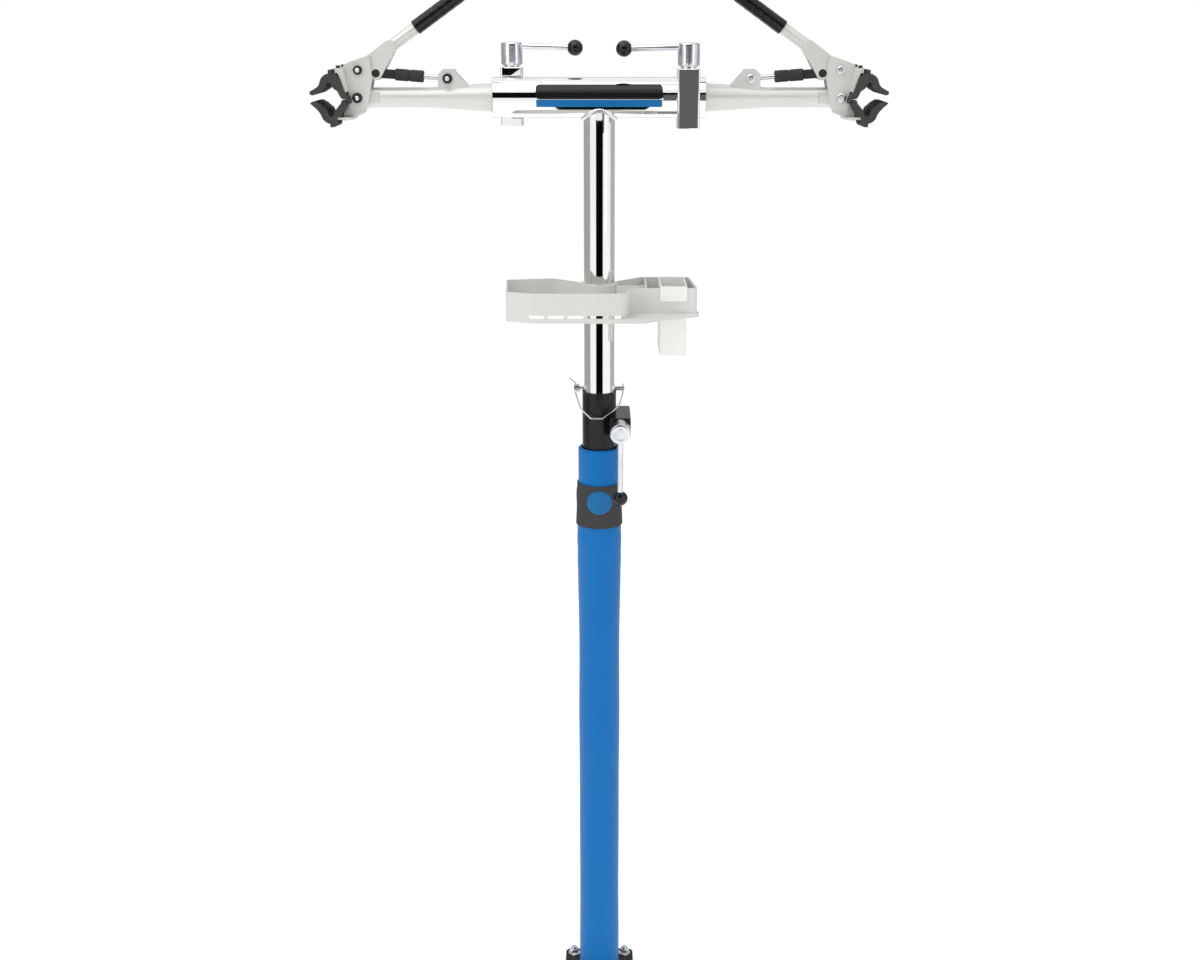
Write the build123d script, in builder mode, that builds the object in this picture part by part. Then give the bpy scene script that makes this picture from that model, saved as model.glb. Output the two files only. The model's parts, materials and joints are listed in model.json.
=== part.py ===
from build123d import *
from math import atan2, cos, degrees, hypot, radians, sin
import os

# Bike repair stand: a post bolted to the floor by a square flange, a mast that slides in it
# and rests on a safety pin, a cross tube with a turning clamp arm in each end, and a tool tray.
# Millimetres. Z is up, X runs along the cross tube, and Y points away from the user.
# The origin is on the floor, under the middle of the flange.
# The left side is modelled; the right side is the same set turned half a turn about Z.

# ---------------------------------------------------------------- driving dimensions
running = 0.1                   # radial clearance of a shaft or pin in its bore
free_gap = 0.3                  # gap between faces that slide past each other
edge_break = 0.8                # chamfer on sawn and machined edges

flange_size = 127.0
flange_thickness = 12.7
flange_corner = 10.0
bolt_pitch = 95.25              # square pattern of the floor bolts
bolt_diameter = 9.5
bolt_hole = 10.5
washer_diameter = 22.0
washer_thickness = 1.8
bolt_nut_flats = 14.3
bolt_nut_height = 8.3
bolt_tip = 4.0                  # thread standing above its nut

post_diameter = 57.15
post_top = 1125.0
mast_diameter = 50.8
mast_wall = 3.0
mast_overlap = 435.0            # mast inside the post, at its lowest setting
bar_height = 1607.0             # axis of the cross tube above the floor
bar_diameter = 63.5
bar_length = 340.0
pin_diameter = 8.0
pin_pitch = 88.9                # spacing of the safety pin holes in the mast
pin_holes_below = 3
pin_holes_above = 1

sleeve_diameter = 72.0
sleeve_top_drop = 97.0          # bare post above the sleeve

lock_width = 35.5               # square housing of a wedge lock
lock_corner = 3.0
lock_length = 92.0
lock_neck = 2.5                 # upper wedge standing proud of the housing
lock_foot = 1.0                 # lower wedge's end inside the housing
wedge_diameter = 24.0
wedge_split = 8.0               # space between the two wedges
lock_bolt_diameter = 10.0
lock_head_diameter = 18.0
lock_head_height = 8.0
lock_nut_diameter = 34.5
lock_nut_height = 36.5
lock_nut_chamfer = 2.5
lock_rod_diameter = 10.0
lock_rod_height = 30.5          # rod above the nut's seat, at the bolt's axis
lock_rod_drop = 3.0             # how far the rod sinks from the nut to the ball
lock_ball_diameter = 25.4
bar_lock_reach = 102.0          # bolt axis to ball centre
post_lock_reach = 112.0
bar_lock_inset = 29.0           # bolt axis inside the cross tube's mouth
bar_lock_offset = 33.0          # bolt axis from the cross tube's axis
post_lock_drop = 55.0           # bolt axis below the top of the post
post_lock_offset = 35.0

safety_head = 9.3               # along the pin
safety_head_width = 13.0
safety_head_corner = 2.0
safety_reach = 40.0             # bail's hole from the mast's axis
bail_wire = 2.5
bail_bend = 5.0
# bail's path from the hole in the pin's head: x and y from the mast's axis, z from the pin
bail_path = [(-50, 1, 17), (-safety_reach, 0, 9), (-safety_reach, 0, -9), (-31, -21, -31), (-14, -36, -44),
             (6, -36, -44), (22, -33, -33), (34, -20, -24), (safety_reach, 0, -8), (safety_reach, 0, 8)]

arm_mouth_diameter = 44.5
arm_diameter = 31.5
arm_taper = 100.0
arm_inside = 110.0              # shank inside the cross tube
arm_step = 7.0                  # cone between the shank and the mouth's diameter
arm_bore = 36.0
arm_bore_floor = 6.0
arm_nose = 13.0                 # half width between the jaw's side plates
nose_length = 36.0              # narrowed part of the arm, inward from the jaw pivot
jaw_reach = 215.3               # jaw pivot beyond the tube's mouth
lever_pivot_back = 2.1          # lever pivot from the jaw pivot, inward
lever_pivot_rise = 42.9
anchor_reach = 71.7             # link anchor beyond the tube's mouth
anchor_rise = 29.8
toggle_length = 28.4            # lever pivot to link pivot
toggle_angle = -10.3
ear_inner = 6.0
ear_outer = 12.0
jaw_plate = 5.0
jaw_plate_corner = 5.0
pad_half_width = 40.0
pad_seat = -24.0                # lower pad's back, from the jaw pivot
plate_sweep = 24.0              # the jaw plates' corner turns inside this radius
wing_half_width = 34.0
screw_diameter = 4.0
screw_head = 7.0
screw_place = -27.5             # from the jaw pivot
screw_spread = 26.0
jaw_bolt_diameter = 10.0
small_bolt_diameter = 8.0
jaw_bolt_head = 8.0             # radius, as are the next two
lever_bolt_head = 7.2
anchor_bolt_head = 7.8
bolt_dome_height = 0.55         # of the head's radius, as are the next three
bolt_dome_round = 0.45
bolt_hexagon = 0.86
bolt_hexagon_height = 0.6
bolt_washer = 1.2
link_bolt_diameter = 7.0
link_bolt_head = 12.8
link_bolt_sink = 2.0
link_bolt_socket = 3.0          # half across flats
lever_plate = 4.5
lever_play = 0.5                # lever's cheeks inside the jaw's plates
lever_ring = 9.0
lever_link_ring = 10.0
lever_angle = 35.1              # lever above the horizontal when the clamp is shut
lever_tube_diameter = 19.0
lever_tube_bore = 14.0
lever_block_start = 50.0        # along the lever from its pivot
lever_block_end = 62.0
lever_block_wall = 0.8          # block standing proud of the tube
lever_socket = 5.0              # tube's start inside the block
lever_bore_start = 77.0
lever_length = 260.0
grip_start = 112.0
grip_diameter = 23.5
grip_round = 3.0
link_eye_radius = 10.5
link_slot = 10.4                # open pivot: the slot lets the pin wander as the jaw opens
link_slot_travel = 5.2
link_bar_height = 14.0
link_fork_length = 29.0
link_screw_diameter = 8.0
link_screw_inside = 14.0        # where the screw ends, from the link pivot
link_eye_end = 8.0              # eye on the anchor bolt, radius
adjuster_diameter = 19.0
adjuster_length = 46.0
adjuster_chamfer = 1.5

# outlines in the clamp's side view, from the jaw pivot: x inward along the arm, y up
bracket_profile = [(12, -10), (9, -24), (-8, -31), (pad_seat, -33.4), (pad_seat, -6), (-10, 0)]
lower_wing_profile = [(-31, -33.4), (-31, -29.4), (-8, -29.4), (-8, -33.4)]
upper_wing_profile = [(-32, 38.9), (-32, 46.5), (-20, 46.5), (-13.2, 10.5), (-16.7, 8.6), (-25, 33),
                      (-27.6, 38.9)]
plate_profile = [(-23.5, 44), (-20, 51), (-9.7, 56), (21.3, 66), (24.3, 28), (15.3, -17), (10.3, -18),
                 (-13, -19.5), (-13.6, 8)]
upper_pad_profile = [
    (-72.6, 8), (-72, 10.8), (-67.7, 13.3), (-60.2, 17.5), (-56.9, 21.5), (-55.6, 26), (-53.8, 30.6),
    (-50.4, 34.6), (-46, 37.5), (-42, 38.6), (-42, 44), (-35.6, 44), (-35.6, 38.6), (-31.6, 37.6), (-28.2, 35.4),
    (-25.8, 32.2), (-24.3, 29), (-19.9, 16.5), (-17.6, 9), (-11.1, 2.7), (-9.4, -2), (-9, -7.9), (-10.6, -7.9),
    (-12.9, -5.3), (-14.8, -1.5), (-21.8, -0.5), (-24.8, 3.8), (-28.2, 11.2), (-33.6, 14.6), (-36.6, 18.6),
    (-38.4, 22.6), (-40.6, 24.8), (-43.2, 24.6), (-45.3, 22.4), (-46.4, 17.5), (-49.6, 13.3), (-60.2, 7),
    (-67.7, 4.8), (-70.8, 5.6)]
lower_pad_profile = [
    (-72.4, -7.4), (-68.8, -5), (-64, -4.6), (-56, -9), (-51, -13.6), (-46.6, -17), (-44.4, -22.7),
    (-42.4, -27), (-38.9, -28.4), (-35.7, -27), (-34.2, -20.6), (-29.3, -14.2), (-24, -8), (-21.8, -2.6), (-17, -2.9),
    (-15.2, -5), (-15, -9), (-17, -15.5), (-21.8, -22.7), (-25.2, -29.1), (-31.3, -29.1), (-31.3, -36),
    (-33, -37.6), (-35.6, -38.8), (-35.6, -44.3), (-41.6, -44.3), (-41.6, -39.2), (-45.4, -38), (-49.6, -35.6),
    (-53.2, -31.6), (-55.4, -25.8), (-58.6, -20.6), (-64.5, -14.2)]
# wing seat, head's way and shank's end of the screws that hold each pad
upper_screw_seat, upper_screw_tip = 46.5, 20.0
lower_screw_seat, lower_screw_tip = -33.4, -18.0
# outlines in the same view, from the cross tube's mouth
ear_profile = [(-87, 0), (-87, 36), (-79, 44), (-62, 44), (-57, 37.6), (-38, 17.5), (-38, 0)]
ear_slot_profile = [(-95, 19), (-95, 60), (-30, 60), (-52, 19)]

tray_rim_drop = 299.0           # tray's rim below the cross tube's axis
tray_depth = 48.0
tray_wall = 3.0
tray_floor_rise = 14.0          # floor above the bottom of the skirt
tray_corner = 8.0
tray_left = -156.0
tray_right = 160.0
tray_front = -110.0
tray_front_right = -56.0
tray_back = 62.0
tray_bend_start = 25.0          # where the front turns back beside the right bay
tray_bend_end = 70.0
tray_hub_diameter = 63.5
tray_divider = 77.0             # wall between the right bay and the others
tray_divider_drop = 2.0         # its top below the rim
tray_pocket_left = 28.0         # small pocket right of the hub
tray_pocket_front = -16.0
tray_slots = 5                  # hanging slots in the front skirt
tray_slot_length = 26.0
tray_slot_height = 5.0
tray_slot_pitch = 31.5
tray_slot_middle = -38.0
tray_slot_rise = 10.0           # above the bottom of the skirt
tray_screw_rise = 7.0           # set screw above the bottom of the skirt
tray_lip_height = 7.0
tray_lip_corner = 5.0
# the lip that widens the skirt's foot under the right bay, in plan
tray_lip_profile = [(20, tray_front), (75, tray_front), (106, -82), (163, -52), (163, -38), (150, -30),
                    (60, -40)]
# the back and left of the tray, in plan, from the right bay round to the front
tray_back_profile = [(tray_right - 8, tray_back), (70, tray_back), (25, 14), (-24, 0), (-77, 47),
                     (tray_left, 33), (tray_left + 6, -91), (-107, tray_front)]
bin_left = 99.0
bin_width = 44.0
bin_length = 100.0
bin_depth = 112.0
bin_wall = 2.5
bin_corner = 4.0
bin_tab_depth = 24.0
set_screw_diameter = 6.0
set_screw_length = 8.0
set_screw_head = 10.0
set_screw_socket = 2.5          # half across corners

pieces = {}                     # piece name to finished part


def outline(points, radius=0.0):
    """Add a closed face through the points to the sketch being built, its corners rounded."""
    with BuildSketch(mode=Mode.PRIVATE) as shape:
        with BuildLine():
            Polyline(*points, close=True)
        make_face()
        if radius:
            fillet(shape.vertices(), radius)
    return add(shape.sketch)


# ---------------------------------------------------------------- base
bolt_places = GridLocations(bolt_pitch, bolt_pitch, 2, 2)

with BuildPart() as base_flange:
    with BuildSketch():
        RectangleRounded(flange_size, flange_size, flange_corner)
        with bolt_places:
            Circle(bolt_hole / 2, mode=Mode.SUBTRACT)
    extrude(amount=flange_thickness)
    chamfer(base_flange.edges().group_by(Axis.Z)[-1].filter_by(GeomType.LINE), edge_break)
pieces["base_flange"] = base_flange.part

nut_seat = flange_thickness + washer_thickness
with BuildPart() as flange_bolts:
    with BuildSketch(Plane.XY.offset(flange_thickness)):
        with bolt_places:
            Circle(washer_diameter / 2)
            Circle(bolt_hole / 2, mode=Mode.SUBTRACT)
    extrude(amount=washer_thickness)
    with BuildSketch(Plane.XY.offset(nut_seat)):
        with bolt_places:
            RegularPolygon(bolt_nut_flats / 2, 6, major_radius=False)
    extrude(amount=bolt_nut_height)
    with BuildSketch():
        with bolt_places:
            Circle(bolt_diameter / 2)
    extrude(amount=nut_seat + bolt_nut_height + bolt_tip)
pieces["flange_bolts"] = flange_bolts.part

# ---------------------------------------------------------------- wedge locks
bore_radius = mast_diameter / 2 + running


def build_lock(name, frame, offset, reach):
    """One wedge lock; returns its housing's uncut block. The frame's Z is its bolt, towards the
    handle's nut; its X is the way of the handle and of the gripped shank, whose axis lies at -Y by
    the offset; the reach is from the bolt to the ball."""
    shank = Plane(origin=frame.from_local_coords((0, -offset, 0)), z_dir=frame.x_dir)
    half = lock_length / 2
    foot = -half + lock_foot
    neck_end = half + lock_neck
    seat = neck_end + free_gap
    rod_height = seat + lock_rod_height
    bolt_end = rod_height - lock_rod_diameter / 2 - free_gap
    rod_tilt = degrees(atan2(lock_rod_drop, reach))
    rod_line = Plane(frame * Pos(0, 0, rod_height) * Rot(0, 90 + rod_tilt, 0))
    ball_distance = hypot(reach, lock_rod_drop)
    rod_start = lock_bolt_diameter / 2
    rod_end = ball_distance + lock_ball_diameter / 4

    with BuildPart() as block:
        with BuildSketch(frame.offset(-half)):
            RectangleRounded(lock_width, lock_width, lock_corner)
        extrude(amount=lock_length)

    with BuildPart() as housing:
        add(block.part)
        ends = housing.faces().filter_by(Axis(frame.origin, frame.z_dir))
        chamfer(ends.edges().filter_by(GeomType.LINE), edge_break)
        with BuildSketch(frame.offset(-half)):
            Circle(wedge_diameter / 2 + running)
        extrude(amount=lock_length, mode=Mode.SUBTRACT)
        with BuildSketch(shank):
            Circle(bore_radius)
        extrude(amount=lock_width, both=True, mode=Mode.SUBTRACT)
    pieces[name + "_housing"] = housing.part

    with BuildPart() as wedges:
        for start, end in ((foot, -wedge_split / 2), (wedge_split / 2, neck_end)):
            with BuildSketch(frame.offset(start)):
                Circle(wedge_diameter / 2)
                Circle(lock_bolt_diameter / 2 + running, mode=Mode.SUBTRACT)
            extrude(amount=end - start)
        with BuildSketch(frame.offset(foot)):
            Circle(lock_head_diameter / 2 + running)
        extrude(amount=lock_head_height, mode=Mode.SUBTRACT)
        with BuildSketch(shank):
            Circle(mast_diameter / 2 + free_gap)
        extrude(amount=lock_width, both=True, mode=Mode.SUBTRACT)
    pieces[name + "_wedges"] = wedges.part

    with BuildPart() as bolt:
        with BuildSketch(frame.offset(foot)):
            Circle(lock_head_diameter / 2)
        extrude(amount=lock_head_height)
        with BuildSketch(frame.offset(foot)):
            Circle(lock_bolt_diameter / 2)
        extrude(amount=bolt_end - foot)
    pieces[name + "_bolt"] = bolt.part

    with BuildPart() as nut:
        with BuildSketch(frame.offset(seat)):
            Circle(lock_nut_diameter / 2)
        extrude(amount=lock_nut_height)
        chamfer(nut.edges().filter_by(GeomType.CIRCLE), lock_nut_chamfer)
        with BuildSketch(frame.offset(seat)):
            Circle(lock_bolt_diameter / 2 + running)
        extrude(amount=bolt_end - seat + free_gap, mode=Mode.SUBTRACT)
        with BuildSketch(rod_line):
            Circle(lock_rod_diameter / 2)
        extrude(amount=lock_nut_diameter, mode=Mode.SUBTRACT)
    pieces[name + "_nut"] = nut.part

    with BuildPart() as rod:
        with BuildSketch(rod_line.offset(rod_start)):
            Circle(lock_rod_diameter / 2)
        extrude(amount=rod_end - rod_start)
    pieces[name + "_rod"] = rod.part

    with BuildPart() as ball:
        with Locations(rod_line.offset(ball_distance)):
            Sphere(lock_ball_diameter / 2)
        with BuildSketch(rod_line.offset(ball_distance - lock_ball_diameter)):
            Circle(lock_rod_diameter / 2)
        extrude(amount=lock_ball_diameter + rod_end - ball_distance, mode=Mode.SUBTRACT)
    pieces[name + "_ball"] = ball.part
    return block.part


mouth_place = -bar_length / 2
bar_lock_frame = Plane(origin=(mouth_place + bar_lock_inset, bar_lock_offset, bar_height),
                       x_dir=(1, 0, 0), z_dir=(0, 0, 1))
post_lock_frame = Plane(origin=(post_lock_offset, 0, post_top - post_lock_drop),
                        x_dir=(0, 0, -1), z_dir=(0, -1, 0))
bar_lock_block = build_lock("left_lock", bar_lock_frame, bar_lock_offset, bar_lock_reach)
post_lock_block = build_lock("post_lock", post_lock_frame, post_lock_offset, post_lock_reach)

# ---------------------------------------------------------------- post, sleeve and mast
with BuildPart() as lower_post:
    with BuildSketch(Plane.XY.offset(flange_thickness)):
        Circle(post_diameter / 2)
        Circle(bore_radius, mode=Mode.SUBTRACT)
    extrude(amount=post_top - flange_thickness)
    chamfer(lower_post.edges().group_by(Axis.Z)[-1], edge_break)
    add(post_lock_block, mode=Mode.SUBTRACT)
pieces["lower_post"] = lower_post.part

sleeve_bottom = flange_thickness + free_gap
with BuildPart() as post_sleeve:
    with BuildSketch(Plane.XY.offset(sleeve_bottom)):
        Circle(sleeve_diameter / 2)
        Circle(post_diameter / 2 + free_gap, mode=Mode.SUBTRACT)
    extrude(amount=post_top - sleeve_top_drop - sleeve_bottom)
pieces["post_sleeve"] = post_sleeve.part

mast_bottom = post_top - mast_overlap
pin_height = post_top + free_gap + pin_diameter / 2
pin_holes = [(0, pin_height + step * pin_pitch) for step in range(-pin_holes_below, pin_holes_above + 1)]
with BuildPart() as mast_tube:
    with BuildSketch(Plane.XY.offset(mast_bottom)):
        Circle(mast_diameter / 2)
        Circle(mast_diameter / 2 - mast_wall, mode=Mode.SUBTRACT)
    extrude(amount=bar_height - mast_bottom)
    with BuildSketch(Plane.YZ):
        with Locations((0, bar_height)):
            Circle(bar_diameter / 2)
        with Locations(*pin_holes):
            Circle(pin_diameter / 2 + running)
    extrude(amount=mast_diameter, both=True, mode=Mode.SUBTRACT)
pieces["mast_tube"] = mast_tube.part

with BuildPart() as cross_tube:
    with BuildSketch(Plane.YZ.offset(mouth_place)):
        with Locations((0, bar_height)):
            Circle(bar_diameter / 2)
            Circle(bore_radius, mode=Mode.SUBTRACT)
    extrude(amount=bar_length)
    chamfer(cross_tube.edges().filter_by(GeomType.CIRCLE).group_by(SortBy.RADIUS)[-1], edge_break)
    add(bar_lock_block, mode=Mode.SUBTRACT)
    add(bar_lock_block.rotate(Axis.Z, 180), mode=Mode.SUBTRACT)
pieces["cross_tube"] = cross_tube.part

# ---------------------------------------------------------------- safety pin
pin_line = Plane(origin=(0, 0, pin_height), x_dir=(0, 1, 0), z_dir=(1, 0, 0))
pin_end = safety_reach + bail_wire
with BuildPart() as safety_pin:
    with BuildSketch(pin_line.offset(-pin_end)):
        RectangleRounded(safety_head_width, safety_head_width, safety_head_corner)
    extrude(amount=safety_head)
    with BuildSketch(pin_line.offset(-pin_end)):
        Circle(pin_diameter / 2)
    extrude(amount=2 * pin_end)
    chamfer(safety_pin.faces().sort_by(Axis.X)[-1].edges(), edge_break)
    with BuildSketch(Plane.XY.offset(pin_height - safety_head_width)):
        with Locations((-safety_reach, 0), (safety_reach, 0)):
            Circle(bail_wire / 2 + running)
    extrude(amount=2 * safety_head_width, mode=Mode.SUBTRACT)
pieces["safety_pin"] = safety_pin.part

bail_points = [Vector(x, y, pin_height + z) for x, y, z in bail_path]
with BuildPart() as bail:
    with BuildLine():
        FilletPolyline(*bail_points, radius=bail_bend)
    with BuildSketch(Plane(origin=bail_points[0], z_dir=bail_points[1] - bail_points[0])):
        Circle(bail_wire / 2)
    sweep()
pieces["safety_pin_bail"] = bail.part

# ---------------------------------------------------------------- clamp, in a frame at the jaw pivot
jaw_place = mouth_place - jaw_reach
side = Plane(origin=(jaw_place, 0, bar_height), x_dir=(1, 0, 0), z_dir=(0, -1, 0))
toggle_turn = radians(toggle_angle)
lever_pivot_at = Vector(lever_pivot_back, lever_pivot_rise)
link_pivot_at = lever_pivot_at + Vector(cos(toggle_turn), sin(toggle_turn)) * toggle_length
anchor_at = Vector(jaw_reach - anchor_reach, anchor_rise)
jaw_inner = arm_nose + free_gap
jaw_outer = jaw_inner + jaw_plate
lever_outer = jaw_inner - lever_play
lever_inner = lever_outer - lever_plate
link_half = lever_inner - free_gap
screw_spots = [(screw_place, spread) for spread in (screw_spread, -screw_spread)]


def from_mouth(points):
    """Points given from the tube's mouth, in the clamp's side view."""
    return [(x + jaw_reach, y) for x, y in points]


def level(height):
    """A level plane at a height above the cross tube's axis, with its origin over the jaw pivot."""
    return Plane(origin=(jaw_place, 0, bar_height + height), x_dir=(1, 0, 0), z_dir=(0, 0, 1))


def bolt_with_nut(at, diameter, reach, head):
    """A bolt across the clamp: domed head on the far side, washer and hexagon nut on the near side."""
    face = reach + free_gap
    with BuildPart() as bolt:
        with BuildSketch(side):
            with Locations(at):
                Circle(diameter / 2)
        extrude(amount=face, both=True)
        with BuildSketch(side.offset(-face)):
            with Locations(at):
                Circle(head)
        extrude(amount=-bolt_dome_height * head)
        fillet(bolt.faces().sort_by(Axis.Y)[-1].edges(), bolt_dome_round * head)
        with BuildSketch(side.offset(face)):
            with Locations(at):
                Circle(head)
        extrude(amount=bolt_washer)
        with BuildSketch(side.offset(face + bolt_washer)):
            with Locations(at):
                RegularPolygon(bolt_hexagon * head, 6, major_radius=False)
        extrude(amount=bolt_hexagon_height * head)
    return bolt.part


arm_line = Plane(origin=(mouth_place + arm_inside, 0, bar_height), z_dir=(-1, 0, 0))
arm_stations = ((0, mast_diameter), (arm_inside - arm_step, mast_diameter), (arm_inside, arm_mouth_diameter),
                (arm_inside + arm_taper, arm_diameter), (arm_inside + jaw_reach, arm_diameter))
with BuildPart() as arm:
    for (start, start_diameter), (end, end_diameter) in zip(arm_stations, arm_stations[1:]):
        with BuildSketch(arm_line.offset(start)):
            Circle(start_diameter / 2)
        with BuildSketch(arm_line.offset(end)):
            Circle(end_diameter / 2)
        loft()
    with BuildSketch(arm_line):
        Circle(arm_bore / 2)
    extrude(amount=arm_inside - arm_bore_floor, mode=Mode.SUBTRACT)
    for near in (1, -1):
        with BuildSketch(side.offset(near * arm_nose)):
            with Locations((nose_length / 2 - arm_diameter, 0)):
                Rectangle(nose_length + 2 * arm_diameter, 2 * arm_diameter)
        extrude(amount=near * arm_diameter, mode=Mode.SUBTRACT)
    with BuildSketch(side):
        Circle(arm_diameter / 2)
        outline(bracket_profile)
    extrude(amount=arm_nose, both=True)
    with BuildSketch(side):
        outline(lower_wing_profile)
    extrude(amount=wing_half_width, both=True)
    with BuildSketch(side):
        outline(from_mouth(ear_profile))
    extrude(amount=ear_outer, both=True)
    with BuildSketch(side):
        outline(from_mouth(ear_slot_profile))
    extrude(amount=ear_inner, both=True, mode=Mode.SUBTRACT)
    with BuildSketch(side):
        Circle(jaw_bolt_diameter / 2 + running)
        with Locations(anchor_at):
            Circle(small_bolt_diameter / 2 + running)
    extrude(amount=arm_diameter, both=True, mode=Mode.SUBTRACT)
    with BuildSketch(level(lower_screw_seat)):
        with Locations(*screw_spots):
            Circle(screw_diameter / 2 + running)
    extrude(amount=lower_screw_tip - lower_screw_seat, mode=Mode.SUBTRACT)
pieces["left_clamp_arm"] = arm.part

with BuildPart() as upper_jaw:
    with BuildSketch(side):
        outline(plate_profile, jaw_plate_corner)
    extrude(amount=jaw_outer, both=True)
    with BuildSketch(side):
        outline(plate_profile, jaw_plate_corner)
    extrude(amount=jaw_inner, both=True, mode=Mode.SUBTRACT)
    with BuildSketch(side):
        outline(upper_wing_profile)
    extrude(amount=wing_half_width, both=True)
    with BuildSketch(side):
        Circle(jaw_bolt_diameter / 2 + running)
        with Locations(lever_pivot_at):
            Circle(small_bolt_diameter / 2 + running)
    extrude(amount=jaw_outer, both=True, mode=Mode.SUBTRACT)
    with BuildSketch(level(upper_screw_tip)):
        with Locations(*screw_spots):
            Circle(screw_diameter / 2 + running)
    extrude(amount=upper_screw_seat - upper_screw_tip, mode=Mode.SUBTRACT)
pieces["left_upper_jaw"] = upper_jaw.part

pads = (("left_upper_pad", upper_pad_profile, upper_screw_seat, upper_screw_tip),
        ("left_lower_pad", lower_pad_profile, lower_screw_seat, lower_screw_tip))
for pad_name, profile, seat, tip in pads:
    head_way = 1 if seat > 0 else -1
    with BuildPart() as pad:
        with BuildSketch(side):
            outline(profile)
        extrude(amount=pad_half_width, both=True)
        with BuildSketch(side):
            Circle(plate_sweep)
            if profile is lower_pad_profile:
                with Locations((pad_seat - free_gap + pad_half_width, 0)):
                    Rectangle(2 * pad_half_width, 4 * pad_half_width)
        extrude(amount=jaw_outer + free_gap, both=True, mode=Mode.SUBTRACT)
        with BuildSketch(level(tip - head_way * free_gap)):
            with Locations(*screw_spots):
                Circle(screw_diameter / 2 + running)
        extrude(amount=seat - tip + head_way * free_gap, mode=Mode.SUBTRACT)
    pieces[pad_name] = pad.part

    with BuildPart() as pad_screws:
        with BuildSketch(level(seat)):
            with Locations(*screw_spots):
                Circle(screw_head / 2)
        extrude(amount=head_way * screw_diameter)
        with BuildSketch(level(tip)):
            with Locations(*screw_spots):
                Circle(screw_diameter / 2)
        extrude(amount=seat - tip)
    pieces[pad_name + "_screws"] = pad_screws.part

pieces["left_jaw_pivot"] = bolt_with_nut(Vector(0, 0), jaw_bolt_diameter, jaw_outer, jaw_bolt_head)
pieces["left_lever_pivot"] = bolt_with_nut(lever_pivot_at, small_bolt_diameter, jaw_outer, lever_bolt_head)
pieces["left_anchor_bolt"] = bolt_with_nut(anchor_at, small_bolt_diameter, ear_outer, anchor_bolt_head)

lever_turn = radians(lever_angle)
lever_way = Vector(cos(lever_turn), sin(lever_turn))
lever_line = Plane(side.from_local_coords(lever_pivot_at), z_dir=(lever_way.X, 0, lever_way.Y))
block_at = lever_pivot_at + lever_way * lever_block_end
slot_at = lever_pivot_at + lever_way * (lever_block_start - lever_block_end)
grip_wall = (grip_diameter - lever_tube_diameter) / 2
tube_start = lever_block_start + lever_socket
with BuildPart() as lever:
    with BuildSketch(side):
        with Locations(lever_pivot_at):
            Circle(lever_ring)
        with Locations(link_pivot_at):
            Circle(lever_link_ring)
        with Locations(block_at):
            Circle(lever_tube_diameter / 2 + lever_block_wall)
        make_hull()
    extrude(amount=lever_outer, both=True)
    with BuildSketch(side):
        with Locations(Location((slot_at.X, slot_at.Y, 0), (0, 0, lever_angle))):
            Rectangle(2 * lever_block_end, 2 * lever_block_end)
    extrude(amount=lever_inner, both=True, mode=Mode.SUBTRACT)
    with BuildSketch(lever_line.offset(tube_start)):
        Circle(lever_tube_diameter / 2)
    extrude(amount=lever_length - grip_wall - free_gap - tube_start)
    with BuildSketch(lever_line.offset(lever_bore_start)):
        Circle(lever_tube_bore / 2)
    extrude(amount=lever_length, mode=Mode.SUBTRACT)
    with BuildSketch(side):
        with Locations(lever_pivot_at):
            Circle(small_bolt_diameter / 2 + running)
        with Locations(link_pivot_at):
            Circle(link_bolt_diameter / 2 + running)
    extrude(amount=lever_outer, both=True, mode=Mode.SUBTRACT)
    for near in (1, -1):
        with BuildSketch(side.offset(near * (lever_outer - link_bolt_sink))):
            with Locations(link_pivot_at):
                Circle(link_bolt_head / 2 + running)
        extrude(amount=near * link_bolt_sink, mode=Mode.SUBTRACT)
pieces["left_lever"] = lever.part

with BuildPart() as link_pivot:
    with BuildSketch(side):
        with Locations(link_pivot_at):
            Circle(link_bolt_diameter / 2)
    extrude(amount=lever_outer - link_bolt_sink / 2, both=True)
    for near in (1, -1):
        with BuildSketch(side.offset(near * (lever_outer - link_bolt_sink + running))):
            with Locations(link_pivot_at):
                Circle(link_bolt_head / 2)
                if near > 0:
                    RegularPolygon(link_bolt_socket, 6, major_radius=False, mode=Mode.SUBTRACT)
        extrude(amount=near * (link_bolt_sink - 2 * running))
pieces["left_link_pivot"] = link_pivot.part

with BuildPart() as grip:
    with BuildSketch(lever_line.offset(grip_start)):
        Circle(grip_diameter / 2)
    extrude(amount=lever_length - grip_start)
    fillet(grip.edges().filter_by(GeomType.CIRCLE), grip_round)
    with BuildSketch(lever_line.offset(grip_start)):
        Circle(lever_tube_diameter / 2 + free_gap)
    extrude(amount=lever_length - grip_start - grip_wall, mode=Mode.SUBTRACT)
pieces["left_grip"] = grip.part

link_run = anchor_at - link_pivot_at
link_length = link_run.length
link_tilt = degrees(atan2(link_run.Y, link_run.X))
link_side = Plane(side.location * Pos(link_pivot_at.X, link_pivot_at.Y, 0) * Rot(0, 0, link_tilt))
link_line = Plane(link_side.location * Rot(0, 90, 0))

with BuildPart() as link_fork:
    with BuildSketch(link_side):
        Circle(link_eye_radius)
        with Locations((link_fork_length / 2, 0)):
            Rectangle(link_fork_length, link_bar_height)
        with Locations((link_slot_travel / 2, 0)):
            SlotCenterToCenter(link_slot_travel, link_slot, mode=Mode.SUBTRACT)
    extrude(amount=link_half, both=True)
    with BuildSketch(link_line.offset(link_screw_inside - free_gap)):
        Circle(link_screw_diameter / 2)
    extrude(amount=link_fork_length, mode=Mode.SUBTRACT)
pieces["left_link_fork"] = link_fork.part

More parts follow.
